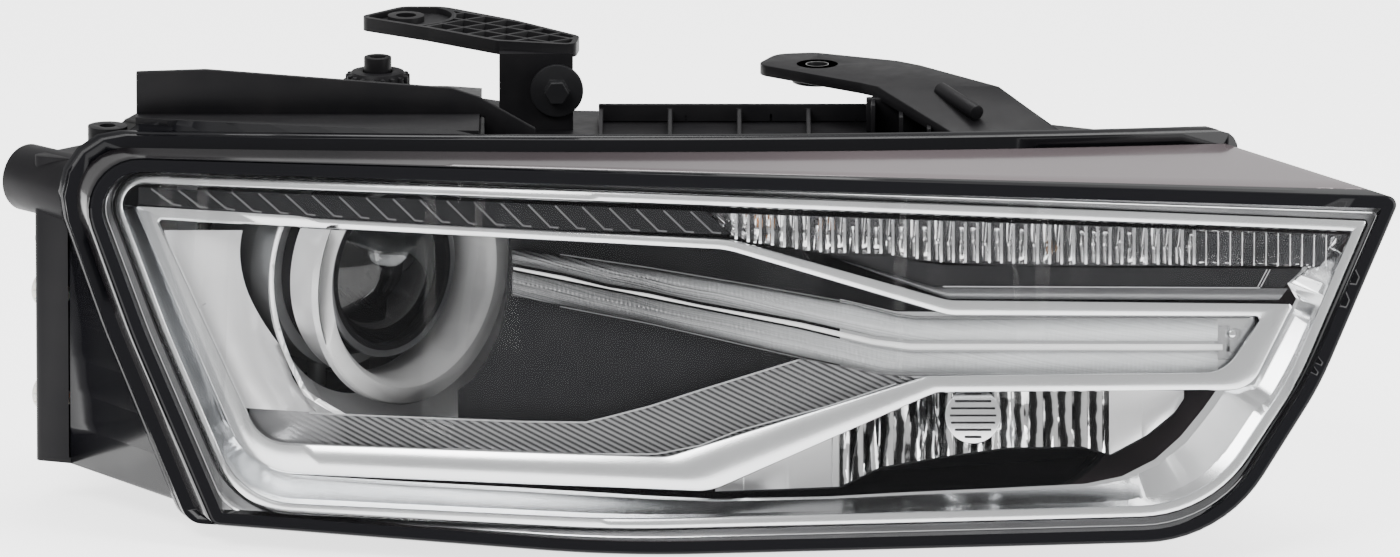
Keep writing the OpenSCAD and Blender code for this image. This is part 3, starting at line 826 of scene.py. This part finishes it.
def signal():
    tilt = run((3, 9), (25, 0), (252, 0), (279, -13))

    def cells(x, v):
        column, tier = int(x / RIB_PITCH), int(v * 1.99)
        u, t = x / RIB_PITCH - column, v * 2 % 1
        kick = chance(column, tier)
        return 18 + 3.2 * (u - 0.5) * (kick - 0.5) + 2.5 * (u - 0.5) ** 2 + 2.6 * (t if kick > 0.4 else 1 - t)

    piece = ribbon("signal_reflector_finished", 3.4, 279, SIGNAL_TOP, SIGNAL_BOTTOM, cells, 26, 432, 16, tilt)
    settled(piece, FACE, SIGNAL_PAINTED_REFLECTIONS, "housing", "signal_reflector", angle=20)
    ribs = []
    for step in range(3, 53):
        x = step * RIB_PITCH
        narrow = x > 214
        ribs.append(stripe("rib", [(x, SIGNAL_TOP(x) - 0.2), (x, SIGNAL_BOTTOM(x) + 0.2)],
                           0.7 if narrow else 1.3, 12.8, 15))
    settled(joined("signal_ribs", ribs), FACE, CHROME_SATIN, "housing", bevel=0.2)
    # painted shade: black strips between the ribs, and a black band behind the narrow ribs at the right end,
    # stand in for the shade seen in the gaps
    shade_strips = [stripe("gap", [(x * RIB_PITCH + 1.7, SIGNAL_TOP(x * RIB_PITCH) - 0.2),
                           (x * RIB_PITCH + 1.7, SIGNAL_BOTTOM(x * RIB_PITCH) + 0.2)], 0.9, 14, 15.4)
            for x in range(8, 42)]
    shade_strips.append(stripe("gap", [(x, (SIGNAL_TOP(x) + SIGNAL_BOTTOM(x)) / 2) for x in (213, 230, 250, 268)],
                       12, 15.2, 16.4))
    settled(joined("signal_painted_shade", shade_strips), FACE, BLACK, "housing")
    # painted reflections: small amber plates stand in for the signal bulb's amber glints in the reflector
    painted_glint_plates = []
    for x, wide in ((25.6, 2.6), (31, 2.2), (51.6, 1.8), (56.8, 2.0)):
        painted_glint_plates.append(stripe("glint", [(x, SIGNAL_TOP(x) - 1.2), (x, SIGNAL_TOP(x) - 5.4)], wide, 15.4, 16.4))
    settled(joined("signal_painted_glints", painted_glint_plates), FACE, AMBER, "housing")
    refined("signal_lens", PRISM, 0)


def lower_strip():
    top = run((56, 40.4), (77, 40), (104, 36.4), (150, 35.6), (262, 34.8))
    middle = run((56, 40), (100, 27.4), (262, 26.7))
    low = run((60, 38.6), (106, 22), (262, 21.4))
    tilt = run((240, 0), (258, -8))
    piece = ribbon("lower_strip_finished", 56, 258, top, middle,
                   lambda x, v: 15.4 + 1.4 * v, 18, 70, tilt=tilt)
    settled(piece, FACE, BLACK, "housing", "lower_strip_trim")
    piece = ribbon("lower_strip_ledge", 60, 252, lambda x: middle(x) - 0.3, low,
                   lambda x, v: 16.2 - 1.8 * math.sin(math.pi * v), 18, 70, tilt=run((240, 0), (252, -4)))
    settled(piece, FACE, GREY, "housing")
    lines = [stripe("line", [(243 + k, 34.6), (239 + k, 27.2)], 0.5, 14.8, 15.6) for k in (0, 1.3)]
    lines.append(stripe("line", along_edge(lambda x: middle(x) - 0.1, 104, 240, 30), 0.5, 15.4, 16.4))
    settled(joined("lower_strip_lines", lines), FACE, CHROME_SATIN, "housing")


GUIDE_TOP = run((-82, 43.6), (-21.5, 34.6), (22.4, 27.2), (66.2, 19.4), (84, 14.8), (92, 13.6), (240, 13.2))
DIVIDER_TOP = run((-81, 35.9), (-58, 31.6), (-39, 26.9), (-22.4, 24.3), (0, 19.4), (43, 11.8), (74, 4.8),
                  (90, 2.8), (226, 2.6))
DIVIDER_LOW = run((-81, 34.7), (-22.4, 22.8), (43, 9.8), (74, 2.4), (90, 0.1), (226, -0.1))
GUIDE_LOW = run((-82, 23.6), (-21.5, 12), (43, -2.6), (78, -10), (232, -10.2))


def guides():
    def rounded(bulge, pitch):
        return lambda x, v: 29.5 - bulge * math.sin(math.pi * v) - 0.22 * abs(math.sin(math.pi * x / pitch))

    cut = run((-82, 0), (-60, 0), (200, 0), (224, 0), (234, -7))
    for name, top, low, bulge in (("drl_upper_guide", GUIDE_TOP, lambda x: DIVIDER_TOP(x) + 1.3, 2.8),
                                  ("drl_lower_guide", lambda x: DIVIDER_LOW(x) - 0.9, GUIDE_LOW, 2.6)):
        piece = ribbon(name + "_finished", -80.5, 222, top, low, rounded(bulge, 1.9), 31, 640, 12, cut)
        settled(piece, FACE, GUIDE, "housing", name, angle=50)
    piece = ribbon("drl_divider_finished", -80, 224, DIVIDER_TOP, DIVIDER_LOW,
                   lambda x, v: 26.2 - 1.0 * math.sin(math.pi * v), 32, 120)
    settled(piece, FACE, WHITE, "housing", "drl_divider", angle=60)
    piece = ribbon("drl_tray", 60, 238, run((60, 22), (84, 16.5), (240, 15.5)),
                   run((60, -9), (78, -12), (240, -12)), lambda x, v: 32.6, 33.4, 60)
    settled(piece, FACE, CHROME_SATIN, "housing")
    lines = [stripe("line", along_edge(lambda x: GUIDE_TOP(x) + 0.7, -60, 236, 60), 0.5, 26.6, 28.4),
             stripe("line", along_edge(lambda x: GUIDE_LOW(x) - 0.7, -60, 214, 60), 0.5, 26.6, 28.4)]
    settled(joined("drl_edges", lines), FACE, GREY, "housing")
    chip = [stripe("chip", [(224.5, 10.5), (224.5, -4)], 5.4, 27.6, 31.5),
            stripe("chip", [(231, 9), (228, -1)], 3.6, 28.6, 31)]
    settled(joined("drl_led_block", chip), FACE, PRISM, "housing", bevel=0.5)
    dome = rod("drl_led", (228.4, lens_depth(228.4, 27.6), 7), (0, -1, 0), 1.7, 1.4, 24)
    settled(dome, FACE, MIRROR, "housing", bevel=0.5)


STEP_TOP = run((-195.6, -25), (-158, -27.3), (-129, -28.4), (-76.5, -30.4), (-49, -30.7), (-40.4, -28.7),
               (-21.5, -23.8), (0, -16.9), (43.2, -3.6))
BLADE_TOP = run((-128, -42.8), (-51, -45.6), (-18.5, -45.6), (0, -41.9), (16.8, -35.4), (55.3, -24.9),
                (91.6, -12.9))


def step():
    top = run(*[(x, STEP_TOP(x)) for x in (-195.6, -158, -129, -76.5, -49, -40.4, -21.5, 0, 43.2)],
              (78, -10.6), (92, -11.4))
    low = run((-195.6, -38), (-160, -43.4), (-128, -44.4), (-51, -46.8), (-18.5, -46.6), (0, -43),
              (16.8, -36.6), (55.3, -26), (92, -13.6))
    piece = ribbon("step_panel_finished", -194, 91, top, low, lambda x, v: 25 + 1.2 * v, 27.4, 200)
    settled(piece, FACE, HATCH, "housing", "step_panel")
    lines = [stripe("line", along_edge(lambda x: STEP_TOP(x) - 0.3, -168, 42, 90), 0.7, 24.2, 25.2),
             stripe("line", along_edge(lambda x: BLADE_TOP(x) + 1.1, -110, 84, 60), 0.6, 24.2, 25.2)]
    settled(joined("step_edges", lines), FACE, CHROME_SATIN, "housing")


RING_EDGE = run((-104, -17.5), (-98, -12.5), (-92, -4.5), (-86, 8), (-83, 22), (-82.4, 49), (12, 42.5),
                (70, 25), (106, 15.5))
WING_LOW = run((-104, -29), (-49, -31.2), (-40.4, -29.2), (-21.5, -24.3), (0, -17.4), (43.2, -4.2), (70, -12))


def mask_wing():
    piece = ribbon("mask_wing", -104, 70, RING_EDGE, WING_LOW, lambda x, v: 33.2, 34, 200)
    settled(piece, FACE, BLACK, "housing")


BEAM_TOP = run((6, -57.5), (86, -13.5), (209, -13.5))
BEAM_BOTTOM = run((5, -60.6), (60, -58.5), (77.4, -50), (106.6, -45.2), (132, -41.7), (164, -41.3),
                  (176, -44.7), (191.5, -36.4), (203.6, -26.5), (209, -18.5))
FACET = 6.4


def high_beam():
    def facets(x, v):
        bowl = 30 + 13 * max(0, 1 - ((x - BEAM_X) / 110) ** 2) - 5 * (v - 0.4) ** 2
        if x < 60 or x > 175:
            panel = int(x / 19)
            return bowl + 2 * (x / 19 - panel - 0.5) * (chance(panel) - 0.5)
        column = int(x / FACET)
        u = x / FACET - column
        kick = chance(column, 3)
        slant = 5.5 * (u - 0.5) * (kick - 0.5)
        return bowl + slant + 3.4 * (u - 0.5) ** 2 + 3 * kick * math.sin(3 * v + 9 * kick)

    for name, left, right, finish in (("beam_reflector_outer", 6.5, 60, SILVER),
                                      ("beam_reflector_facets", 60, 175.5, BEAM_PAINTED_REFLECTIONS),
                                      ("beam_reflector_inner", 175.5, 207.5, SILVER)):
        piece = ribbon(name, left, right, BEAM_TOP, BEAM_BOTTOM, facets, 50, int(2 * (right - left)), 20)
        settled(piece, FACE, finish, "housing", *(["beam_reflector"] if left == 60 else []), angle=20)
    refined("glare_cap", CHROME_SATIN, 0.6)
    grooves = []
    for step in range(-3, 4):
        reach = math.sqrt(max(100 - (step * 3.1) ** 2, 9))
        height = BEAM_Z + step * 3.1
        grooves.append(block("groove", (BEAM_X - reach, 29.1, height - 0.45),
                             (BEAM_X + reach, 30.2, height + 0.45)))
    settled(joined("glare_cap_grooves", grooves), FACE, BLACK, "housing", bevel=0.15)
    edge = [stripe("line", along_edge(lambda x: BEAM_BOTTOM(x) - 0.4, 10, 205, 80), 0.5, 26, 30)]
    settled(joined("beam_edge", edge), FACE, BLACK, "housing")


def shaft(name, points, low=-40, high=200):
    """A prism through the lamp along the depth of the face, from points on the face."""
    piece = lofted(name, [[(x, depth, z) for x, z in points] for depth in (low, high)], ring=False)
    edit(piece, lambda: bpy.ops.mesh.fill_holes(sides=0), outward)
    piece.data.transform(FACE)
    return piece


def projector_trim():
    refined("projector_lens", GLASS, 0, angle=60)
    bowl = refined("projector_bowl", SILVER, 0, angle=50)
    edge = along_edge(STEP_TOP, -200, 43, 60)
    cut(bowl, shaft("cutter", edge + [(43, -80), (-200, -80)]))
    smoothed(bowl, 50)
    refined("projector_ring", RING_METAL, 0.5, angle=50)
    window = [(p.x, p.y) for p in traced(inset(LOOP_INNER, 0.4), LOOP_OUTER)]
    for name, out, finish in (("projector_ring_barrel", 0, SILVER), ("projector_ring_lining", -0.35, BLACK)):
        wall = turned(name, [(r + out, a) for r, a in ((56.2, 1.4), (56.2, 5.2), (47.4, 12.4), (47.4, 28),
                                                       (47.1, 28), (47.1, 12), (55.9, 5), (55.9, 1.4))],
                      (LIGHT_B, RING_A, LIGHT_Z), (0, 1, 0), 160)
        wall.data.transform(OPTICAL)
        cut(wall, shaft("cutter", window), "INTERSECT")
        settled(wall, Matrix.Identity(4), finish, "housing")
    tube = turned("lens_holder_lip", [(34.6, 0), (34.6, 1.6), (37.5, 1.6), (37.5, 0.4), (36.8, 0)],
                  (LIGHT_B, 159.9, LIGHT_Z), (0, 1, 0), 128)
    settled(tube, OPTICAL, GREY, "projector")


lens_rim()
lens_cover()
rim_band()
outer_bezel()
bezel_slope()
cheek()
drl_frame()
top_strip()
signal()
lower_strip()
guides()
step()
mask_wing()
high_beam()
projector_trim()


# ---- housing and fixings ----

def plate(name, corners, low, high, distance=0.0):
    """A flat plate with a rounded outline, between two heights."""
    outline = traced(inset(corners, distance) if distance else corners, corners)
    piece = lofted(name, [[(p.x, p.y, z) for p in outline] for z in (low, high)], ring=False)
    edit(piece, lambda: bpy.ops.mesh.fill_holes(sides=0), outward)
    return piece


def diamonds(low, high, centre, pitch, across, along):
    """Diamond-shaped prisms side by side, with walls left between them."""
    pieces = []
    for i in range(-across, across + 1):
        for j in range(-along, along + 1):
            middle = Vector(centre) + Vector((pitch * (i + j) * 0.62, pitch * (i - j) * 0.5))
            clear_selection()
            bpy.ops.mesh.primitive_cylinder_add(vertices=4, radius=pitch * 0.5, depth=high - low,
                                                location=(middle.x, middle.y, (low + high) / 2))
            pieces.append(bpy.context.object)
            pieces[-1].scale = (1.08, 0.85, 1)
            bpy.ops.object.transform_apply()
    return joined("diamonds", pieces)


ARM_PLAN = [(-149, 219, 5), (-130, 240, 8), (-112, 240, 12), (-80, 212, 30), (-52, 180, 8),
            (-54, 162, 5), (-88, 170, 5), (-118, 196, 20)]


def ribbed_arm():
    piece = refined("ribbed_arm", MOULDED, 0)
    cells = diamonds(94.6, 99, (-84, 190), 15, 4, 4)
    cells.location = (0, 0, 0)
    cut(cells, plate("limit", ARM_PLAN, 90, 100, 2.4), "INTERSECT")
    cut(cells, rod("limit", (-128, 222, 80), (0, 0, 1), 22, 40))
    cells.data.transform(UPRIGHT)
    cut(piece, cells)
    recess = plate("recess", ARM_PLAN, 95.4, 99, 2.4)
    cut(recess, rod("limit", (-128, 222, 80), (0, 0, 1), 20, 40), "INTERSECT")
    cut(recess, rod("limit", (-128, 222, 80), (0, 0, 1), 8, 40))
    recess.data.transform(UPRIGHT)
    cut(piece, recess)
    bevelled(piece, 0.4 * MM, 2, 40)
    smoothed(piece, 35)


def inner_arm():
    refined("inner_arm", MOULDED, 1.0)
    ring = turned("inner_arm_ring", [(4.7, 79.4), (4.7, 80), (9, 80), (9, 79.4)], (51, 205, 0), (0, 0, 1), 64)
    settled(ring, UPRIGHT, ZINC, "housing")
    cone = rod("inner_arm_cone", (104, 158, 79), (0.52, -0.83, -0.16), 3.4, 30, 40)
    settled(cone, UPRIGHT, MOULDED, "housing", bevel=0.6)
    low = [block("web", (74 + 12 * k, 146 - 9 * k, 60), (75.8 + 12 * k, 160 - 9 * k, 74.6 - 3.2 * k))
           for k in range(4)]
    settled(joined("inner_arm_webs", low), UPRIGHT, MOULDED, "housing", bevel=0.3)


def grips(name, centre, radius, count, size, direction=(0, 0, 1)):
    """Small ribs round a knob or a cap; size is (out, round, along)."""
    ribs = []
    for step in range(count):
        rib = block("grip", (radius - size[0], -size[1] / 2, 0), (radius + 0.01, size[1] / 2, size[2]))
        rib.data.transform(Matrix.Rotation(2 * math.pi * step / count, 4, "Z"))
        ribs.append(rib)
    piece = joined(name, ribs)
    turn = Vector(direction).normalized().to_track_quat("Z", "Y").to_matrix().to_4x4()
    piece.data.transform(Matrix.Translation(Vector(centre)) @ turn)
    return piece


def gap_adjuster():
    crown = turned("gap_knob_finished", [(6.6, 0), (6.6, 8.4), (8.4, 9), (11.4, 8.4), (12.6, 6.6), (12.6, 0)],
                   KNOB_CENTRE, (0, 0, 1))
    settled(crown, UPRIGHT, MOULDED, "gap_knob", "gap_knob")
    teeth = grips("gap_knob_teeth", KNOB_CENTRE, 14, 18, (3.4, 2.2, 7.4))
    settled(teeth, UPRIGHT, MOULDED, "gap_knob", bevel=0.6)
    refined("gap_sleeve", MOULDED, 0.5)
    profile = [(6, 0), (6, 11), (4, 13), (2, 13), (2, 0)]
    stop = turned("knob_stop", profile, (-153, 214, 60), (0.3, -0.5, 1), 40)
    settled(stop, UPRIGHT, MOULDED, "housing", bevel=0.4)


def caps():
    rear = (LIGHT_B, REAR_A + 14.4, LIGHT_Z)
    refined("low_beam_cover", CAP, 1.2)
    ribs = grips("low_beam_cover_grips", rear, 48.5, 36, (2.2, 2.4, 15), (0, 1, 0))
    settled(ribs, OPTICAL, CAP, "low_beam_cover", bevel=0.5)
    ring = turned("low_beam_cover_ring", [(36, 15.8), (36.6, 17), (38.4, 17), (39, 15.8)], rear, (0, 1, 0))
    settled(ring, OPTICAL, CAP, "low_beam_cover")
    refined("beam_cap", CAP, 0.9)
    ribs = grips("beam_cap_grips", CAP_CENTRE, 38.4, 30, (2, 2.2, 5.4), (0, 1, 0))
    settled(ribs, UPRIGHT, CAP, "beam_cap", bevel=0.4)
    for body, height in ADJUSTER_Z.items():
        refined(body, NYLON, 0.4)
        teeth = grips(body + "_teeth", (ADJUSTER_B, REAR_A + 1, height), 8.6, 14, (1.6, 1.6, 10), (0, 1, 0))
        settled(teeth, OPTICAL, NYLON, body, bevel=0.3)
        socket = rod(body + "_socket", (ADJUSTER_B, REAR_A + 11.6, height), (0, 1, 0), 3.2, 1.1, 6)
        settled(socket, OPTICAL, MOULDED, body)


def housing():
    refined("housing_front", GLOSS, 0, angle=40)
    refined("housing_rear", MOULDED, 1.4)
    refined("rear_upright", MOULDED, 0.6)
    refined("roof_ribs", MOULDED, 0.5)
    ribs = [block("rib", (-44 + 37 * k, 178, 60), (-42.4 + 37 * k, 189, 64)) for k in range(5)]
    ribs += [block("rib", (-58 + 27 * k, 150, -77), (-56.4 + 27 * k, 186, -75)) for k in range(6)]
    settled(joined("housing_roof_ribs", ribs), UPRIGHT, MOULDED, "housing", bevel=0.3)
    back = []
    for angle in range(0, 360, 30):
        rib = block("rib", (49, -1, REAR_A - 0.5), (58, 1, REAR_A + 6))
        rib.data.transform(Matrix.Rotation(math.radians(angle + 15), 4, "Z"))
        back.append(rib)
    piece = joined("collar_ribs", back)
    onto_axis = Matrix.Translation((LIGHT_B, 0, LIGHT_Z)) @ Matrix.Rotation(math.radians(-90), 4, "X")
    piece.data.transform(onto_axis)
    settled(piece, OPTICAL, MOULDED, "housing", bevel=0.4)
    slats = [block("slat", (LIGHT_B - 66, REAR_A - 0.5, FLOOR_Z + 10 + 7 * k),
                   (LIGHT_B + 60, REAR_A + 1.4, FLOOR_Z + 11.6 + 7 * k))
             for k in range(3)]
    settled(joined("rear_slats", slats), OPTICAL, MOULDED, "housing", bevel=0.3)
    refined("ring_lug", MOULDED, 0.5)
    refined("rear_boss", MOULDED, 0.8)
    refined("seam_screws", ZINC, 0.4)
    refined("ribbed_arm_bolt", BLACK, 0.5)


def electrics():
    refined("ballast", CAST, 0.8)
    fins = [block("fin", (-14 + 8.4 * k, 106, FLOOR_Z - 15.6), (-12.4 + 8.4 * k, 154, FLOOR_Z - 13.8))
            for k in range(12)]
    settled(joined("ballast_fins", fins), UPRIGHT, CAST, "housing", bevel=0.3)
    refined("ballast_screws", ZINC, 0.3)
    refined("connector_socket", MOULDED, 0.6)
    pins = [block("pin", (80 + 6 * i, 199, -22 + 8 * j), (81.6 + 6 * i, 209, -20.8 + 8 * j))
            for i in range(5) for j in range(2)]
    settled(joined("connector_pins", pins), UPRIGHT, ZINC, "housing", bevel=0.2)
    refined("breather_vent", MOULDED, 0.6)


ribbed_arm()
inner_arm()
gap_adjuster()
caps()
housing()
electrics()

# ---- finishes of the frame's own nodes ----

KEPT = {
    "seam_seal": RUBBER, "signal_bulb": AMBER, "signal_holder": MOULDED, "drl_board": BOARD,
    "drl_heat_sink": CAST, "mask_panel": BLACK, "carrier_frame": CAST, "projector_body": CAST,
    "lens_holder": MOULDED, "shutter_flap": ZINC, "shutter_solenoid": COPPER, "xenon_bulb": GLASS,
    "bulb_clamp_ring": ZINC, "swivel_drive": MOULDED, "levelling_motor": MOULDED, "levelling_rod": NYLON,
    "beam_bulb": GLASS, "cover_gasket": RUBBER, "mount_inserts": ZINC, "wiring_harness": RUBBER,
}
for node_name, material in KEPT.items():
    nodes[node_name].data.materials.clear()
    nodes[node_name].data.materials.append(material)


# ---- studio ----

def lamp(name, place, aim, size, power):
    light = bpy.data.lights.new(name, "AREA")
    light.shape = "RECTANGLE"
    light.size, light.size_y = size
    light.energy = power
    holder = bpy.data.objects.new(name, light)
    bpy.context.scene.collection.objects.link(holder)
    holder.location = place
    holder.rotation_euler = (Vector(aim) - Vector(place)).to_track_quat("-Z", "Y").to_euler()


def studio():
    low, high = cad_box
    middle = (low + high) / 2
    clear_selection()
    bpy.ops.mesh.primitive_plane_add(size=12, location=(middle.x, middle.y, low.z - 0.002))
    floor = named("studio_floor")
    made = Finish("studio_paper")
    made.blended((0.9, 0.9, 0.9), (0.92, 0.92, 0.92), made.noise(3))
    made.varied(0.75, 0.05, 5)
    made.shader.inputs["Emission Color"].default_value = (1, 1, 1, 1)
    made.shader.inputs["Emission Strength"].default_value = 2.2
    floor.data.materials.append(made.material)
    world = bpy.data.worlds.new("studio_air")
    world.use_nodes = True
    world.node_tree.nodes["Background"].inputs[0].default_value = (1, 1, 1, 1)
    world.node_tree.nodes["Background"].inputs[1].default_value = 0.8
    bpy.context.scene.world = world
    lamp("key", middle + Vector((-1.2, -1.6, 1.8)), middle, (1.4, 1.0), 60)
    lamp("top", middle + Vector((0.2, 0.5, 1.8)), middle, (1.6, 1.2), 50)
    lamp("side", middle + Vector((1.7, -0.9, 0.7)), middle, (0.6, 1.4), 24)


def camera():
    lens = bpy.data.cameras.new("camera")
    lens.lens = CAMERA_LENS
    lens.sensor_width = 36
    lens.clip_end = 50
    holder = bpy.data.objects.new("camera", lens)
    bpy.context.scene.collection.objects.link(holder)
    holder.location = FACE @ Vector((0, -CAMERA_AWAY, LOOK_Z))
    ahead = (FACE @ Vector((0, 0, LOOK_Z))) - holder.location
    holder.rotation_euler = ahead.to_track_quat("-Z", "Y").to_euler()
    bpy.context.scene.camera = holder


studio()
camera()
